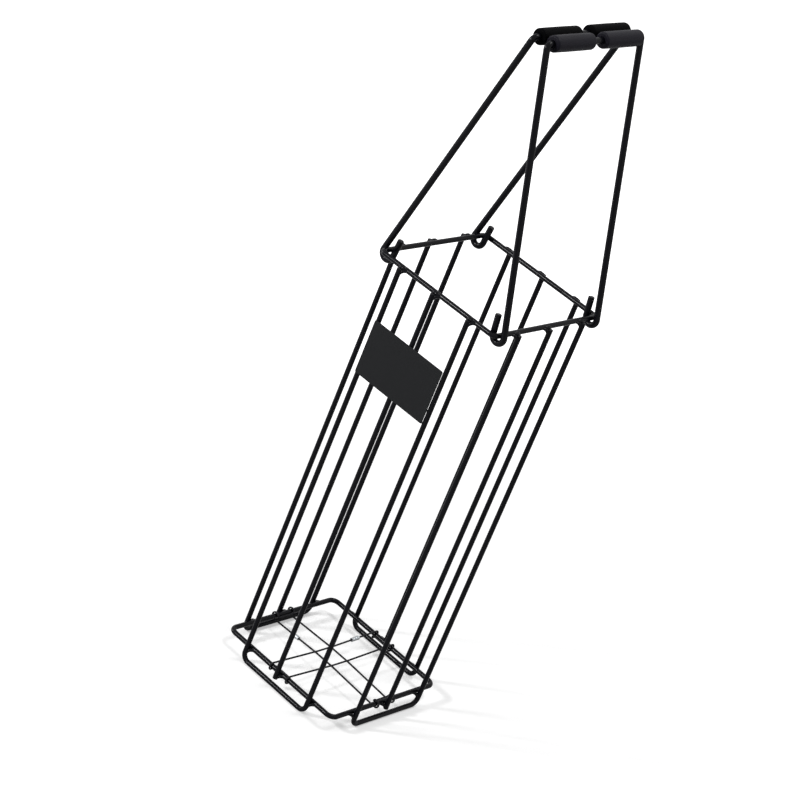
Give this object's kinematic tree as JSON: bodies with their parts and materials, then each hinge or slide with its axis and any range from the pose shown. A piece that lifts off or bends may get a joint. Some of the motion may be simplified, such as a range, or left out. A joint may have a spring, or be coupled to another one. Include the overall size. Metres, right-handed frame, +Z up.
{
  "type": "ball pick-up basket",
  "caption": "Tall square wire basket that is pressed down over loose balls to pick them up, with swinging wire handles and foam grips.",
  "frame": {"origin": "on the ground, under the middle of the basket", "axes": "+Z up; the front side, with the plate, faces -Y; +X runs to the right of the front, and the handles hang from the left and right sides"},
  "size_m": [0.1426, 0.1458, 0.6112],
  "materials": {
    "coated_wire": "satin black coating on steel wire",
    "coated_plate": "matt black coating on sheet steel",
    "grip_foam": "soft closed-cell foam with a fine skin",
    "elastic_cord": "woven cover over a rubber core",
    "crimp_ferrule": "zinc plated, crimped"
  },
  "bodies": {
    "frame": {"rim_ring": "coated_wire", "base_ring": "coated_wire", "front_hairpin": "coated_wire", "front_middle_rod": "coated_wire", "right_hairpin": "coated_wire", "right_middle_rod": "coated_wire", "back_hairpin": "coated_wire", "back_middle_rod": "coated_wire", "left_hairpin": "coated_wire", "left_middle_rod": "coated_wire", "label_plate": "coated_plate", "front_back_cord_loop": "elastic_cord", "front_back_cord_ferrule": "crimp_ferrule", "left_right_cord_loop": "elastic_cord", "left_right_cord_ferrule": "crimp_ferrule"},
    "left_handle": {"left_handle_wire": "coated_wire", "left_front_grip": "grip_foam", "left_back_grip": "grip_foam"},
    "right_handle": {"right_handle_wire": "coated_wire", "right_front_grip": "grip_foam", "right_back_grip": "grip_foam"}
  },
  "joints": [
    {"name": "left_handle_swing", "type": "hinge", "parent": "frame", "child": "left_handle", "pos_m": [-0.063, 0.00059, 0.38593], "axis": [0, -1, 0], "range_deg": [0, 189.7]},
    {"name": "right_handle_swing", "type": "hinge", "parent": "frame", "child": "right_handle", "pos_m": [0.063, 0.00059, 0.38593], "axis": [0, 1, 0], "range_deg": [0, 191.7]}
  ]
}
